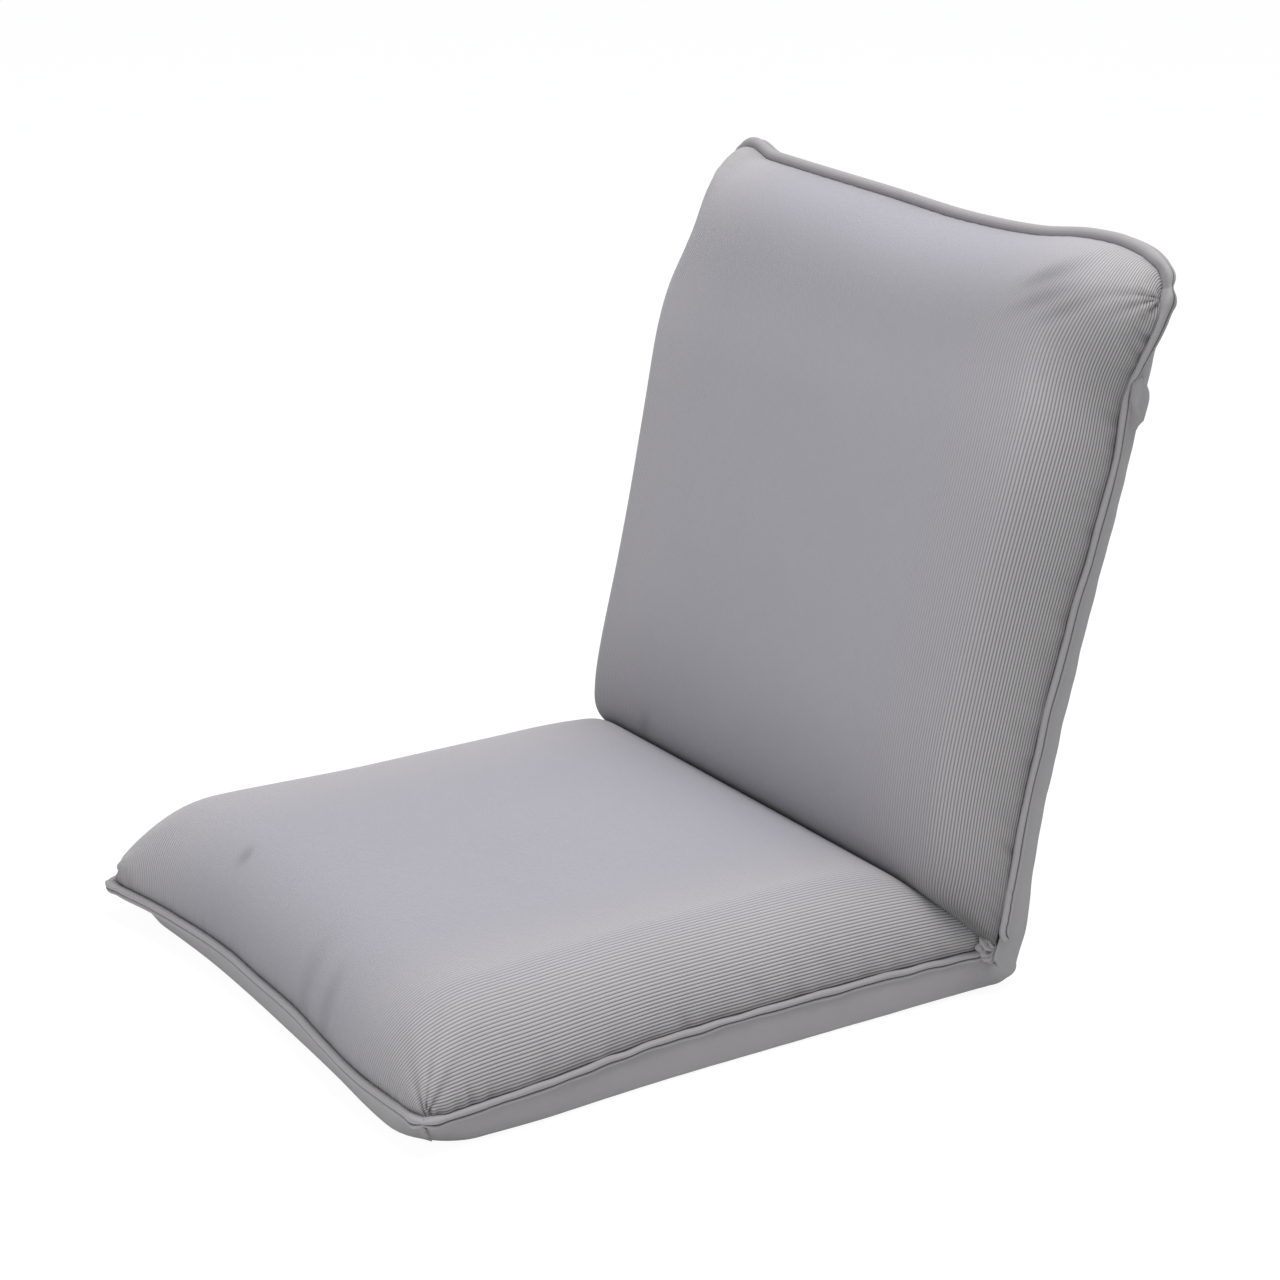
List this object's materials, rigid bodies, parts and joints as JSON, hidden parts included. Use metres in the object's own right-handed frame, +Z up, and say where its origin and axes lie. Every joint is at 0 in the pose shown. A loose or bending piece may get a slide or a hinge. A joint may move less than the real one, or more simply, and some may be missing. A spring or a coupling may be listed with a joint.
{
  "type": "folding floor chair",
  "caption": "Legless padded floor chair: a ribbed-cloth seat and back cushion on bent tube frames, joined by a ratchet hinge that reclines flat and folds.",
  "frame": {"origin": "middle of the seat's flat underside, on the floor", "axes": "+Z up, the sitter faces -Y, +X is the sitter's left"},
  "size_m": [0.561, 0.6355, 0.5538],
  "materials": {
    "ribbed_cloth": "fine-ribbed soft cloth, matt",
    "plain_cloth": "plain woven cloth, matt",
    "foam": "open-cell foam",
    "webbing": "woven webbing",
    "black_steel": "black powder coat",
    "zinc_steel": "zinc plate"
  },
  "bodies": {
    "seat": {"seat_frame_loop": "black_steel", "seat_cross_tube": "black_steel", "seat_webbing_strap_1": "webbing", "seat_webbing_strap_2": "webbing", "seat_webbing_strap_3": "webbing", "seat_firm_pad": "foam", "seat_crown_foam": "foam", "seat_ribbed_cover": "ribbed_cloth", "seat_base_cover": "plain_cloth", "seat_welt": "plain_cloth", "left_ratchet_arm": "zinc_steel", "left_seat_tube_rivet": "zinc_steel", "right_ratchet_arm": "zinc_steel", "right_seat_tube_rivet": "zinc_steel"},
    "left_pawl": {"left_pawl": "zinc_steel"},
    "right_pawl": {"right_pawl": "zinc_steel"},
    "back": {"back_frame_loop": "black_steel", "back_cross_tube": "black_steel", "back_webbing_strap_1": "webbing", "back_webbing_strap_2": "webbing", "back_webbing_strap_3": "webbing", "back_firm_pad": "foam", "back_crown_foam": "foam", "back_ribbed_cover": "ribbed_cloth", "back_rear_cover": "plain_cloth", "back_welt": "plain_cloth", "left_outer_cheek": "zinc_steel", "left_inner_cheek": "zinc_steel", "left_plug_bar": "zinc_steel", "left_pivot_rivet": "zinc_steel", "left_pawl_pin": "zinc_steel", "left_pawl_spring": "zinc_steel", "left_back_tube_rivet": "zinc_steel", "right_outer_cheek": "zinc_steel", "right_inner_cheek": "zinc_steel", "right_plug_bar": "zinc_steel", "right_pivot_rivet": "zinc_steel", "right_pawl_pin": "zinc_steel", "right_pawl_spring": "zinc_steel", "right_back_tube_rivet": "zinc_steel"}
  },
  "joints": [
    {"name": "backrest_recline", "type": "hinge", "parent": "seat", "child": "back", "pos_m": [0, 0.238, 0.024], "axis": [-1, 0, 0], "range_deg": [-55, 77], "deforming": ["seat_crown_foam", "seat_ribbed_cover", "seat_welt", "back_crown_foam", "back_ribbed_cover", "back_welt"]},
    {"name": "left_pawl_lift", "type": "hinge", "parent": "back", "child": "left_pawl", "pos_m": [0.225, 0.24362, 0.04836], "axis": [-1, 0, 0], "range_deg": [0, 12], "stiffness_Nm_per_rad": 0.05, "springref_deg": -11.46},
    {"name": "right_pawl_lift", "type": "hinge", "parent": "back", "child": "right_pawl", "pos_m": [-0.225, 0.24362, 0.04836], "axis": [-1, 0, 0], "range_deg": [0, 12], "stiffness_Nm_per_rad": 0.05, "springref_deg": -11.46}
  ]
}
